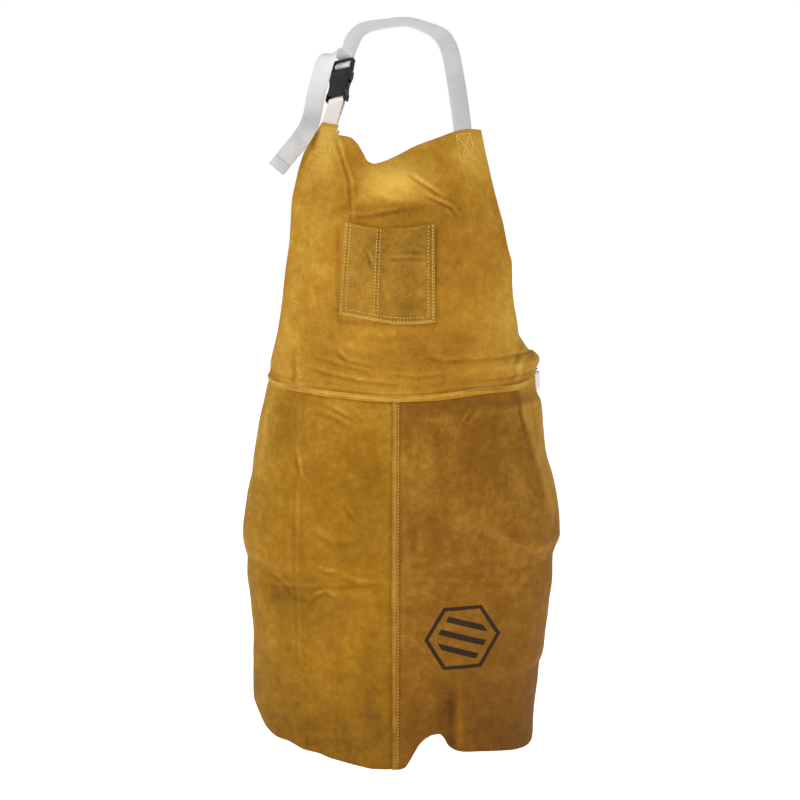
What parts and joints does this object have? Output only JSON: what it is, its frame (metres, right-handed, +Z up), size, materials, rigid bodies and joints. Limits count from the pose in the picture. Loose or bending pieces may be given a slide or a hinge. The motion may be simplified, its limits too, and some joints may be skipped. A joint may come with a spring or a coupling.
{
  "type": "welding apron",
  "caption": "Bib-style leather welding apron with lapped skirt panels, a divided chest pocket, and a webbing neck strap and waist belt with side-release buckles.",
  "frame": {"origin": "top of the neck strap, in the middle of its width, on the face that bears on the neck; the apron hangs below it", "axes": "+Z up, -Y towards the wearer's front, +X towards the right of someone facing the apron"},
  "size_m": [0.4624, 0.3231, 1.0336],
  "materials": {
    "leather_bib": "golden tan split suede, nap brushed lighter and darker",
    "leather_skirt_left": "golden tan split suede, a little darker",
    "leather_skirt_right": "browner tan split suede",
    "thread": "pale yellow heat-resistant sewing thread",
    "webbing": "off-white plain-woven cotton-look webbing",
    "buckle": "black moulded acetal, satin"
  },
  "bodies": {
    "apron": {"bib_panel": "leather_bib", "chest_pocket": "leather_bib", "skirt_panel_left": "leather_skirt_left", "skirt_panel_right": "leather_skirt_right", "waist_seam_thread": "thread", "centre_seam_thread": "thread", "pocket_edge_thread_outer": "thread", "pocket_edge_thread_inner": "thread", "pocket_divider_thread_left": "thread", "pocket_divider_thread_right": "thread", "neck_anchor_thread_left": "thread", "neck_anchor_thread_right": "thread", "belt_anchor_thread_left": "thread", "belt_anchor_thread_right": "thread", "neck_strap": "webbing", "neck_socket_loop": "webbing", "waist_belt": "webbing", "waist_socket_loop": "webbing", "neck_buckle_socket": "buckle", "waist_buckle_socket": "buckle"},
    "neck_buckle_plug": {"neck_buckle_frame": "buckle", "neck_strap_end": "webbing", "neck_strap_tail": "webbing", "neck_tail_hem_thread": "thread"},
    "neck_prong_left": {"neck_buckle_prong_left": "buckle"},
    "neck_prong_right": {"neck_buckle_prong_right": "buckle"},
    "waist_buckle_plug": {"waist_buckle_frame": "buckle", "waist_belt_end": "webbing", "waist_belt_tail": "webbing", "belt_tail_hem_thread": "thread"},
    "waist_prong_left": {"waist_buckle_prong_left": "buckle"},
    "waist_prong_right": {"waist_buckle_prong_right": "buckle"}
  },
  "joints": [
    {"name": "neck_buckle_release", "type": "slide", "parent": "apron", "child": "neck_buckle_plug", "axis": [0.105, 0.5272, 0.8433], "range_m": [0, 0.034], "deforming": ["neck_strap_end"]},
    {"name": "neck_prong_right_squeeze", "type": "hinge", "parent": "neck_buckle_plug", "child": "neck_prong_right", "pos_m": [-0.07356, -0.09115, -0.07304], "axis": [0.4637, 0.7242, -0.5105], "range_deg": [0, 7], "stiffness_Nm_per_rad": 0.08},
    {"name": "neck_prong_left_squeeze", "type": "hinge", "parent": "neck_buckle_plug", "child": "neck_prong_left", "pos_m": [-0.09115, -0.08225, -0.07641], "axis": [0.4637, 0.7242, -0.5105], "range_deg": [-7, 0], "stiffness_Nm_per_rad": 0.08},
    {"name": "waist_buckle_release", "type": "slide", "parent": "apron", "child": "waist_buckle_plug", "axis": [-0.5, 0.866, 0], "range_m": [0, 0.034], "deforming": ["waist_belt_end"]},
    {"name": "waist_prong_right_squeeze", "type": "hinge", "parent": "waist_buckle_plug", "child": "waist_prong_right", "pos_m": [0.1639, 0.01728, -0.513], "axis": [-0.866, -0.5, 0], "range_deg": [0, 7], "stiffness_Nm_per_rad": 0.08},
    {"name": "waist_prong_left_squeeze", "type": "hinge", "parent": "waist_buckle_plug", "child": "waist_prong_left", "pos_m": [0.1639, 0.01728, -0.493], "axis": [-0.866, -0.5, 0], "range_deg": [-7, 0], "stiffness_Nm_per_rad": 0.08}
  ],
  "couplings": [
    {"joint": "neck_prong_left_squeeze", "follows": "neck_prong_right_squeeze", "ratio": -1},
    {"joint": "waist_prong_left_squeeze", "follows": "waist_prong_right_squeeze", "ratio": -1}
  ]
}
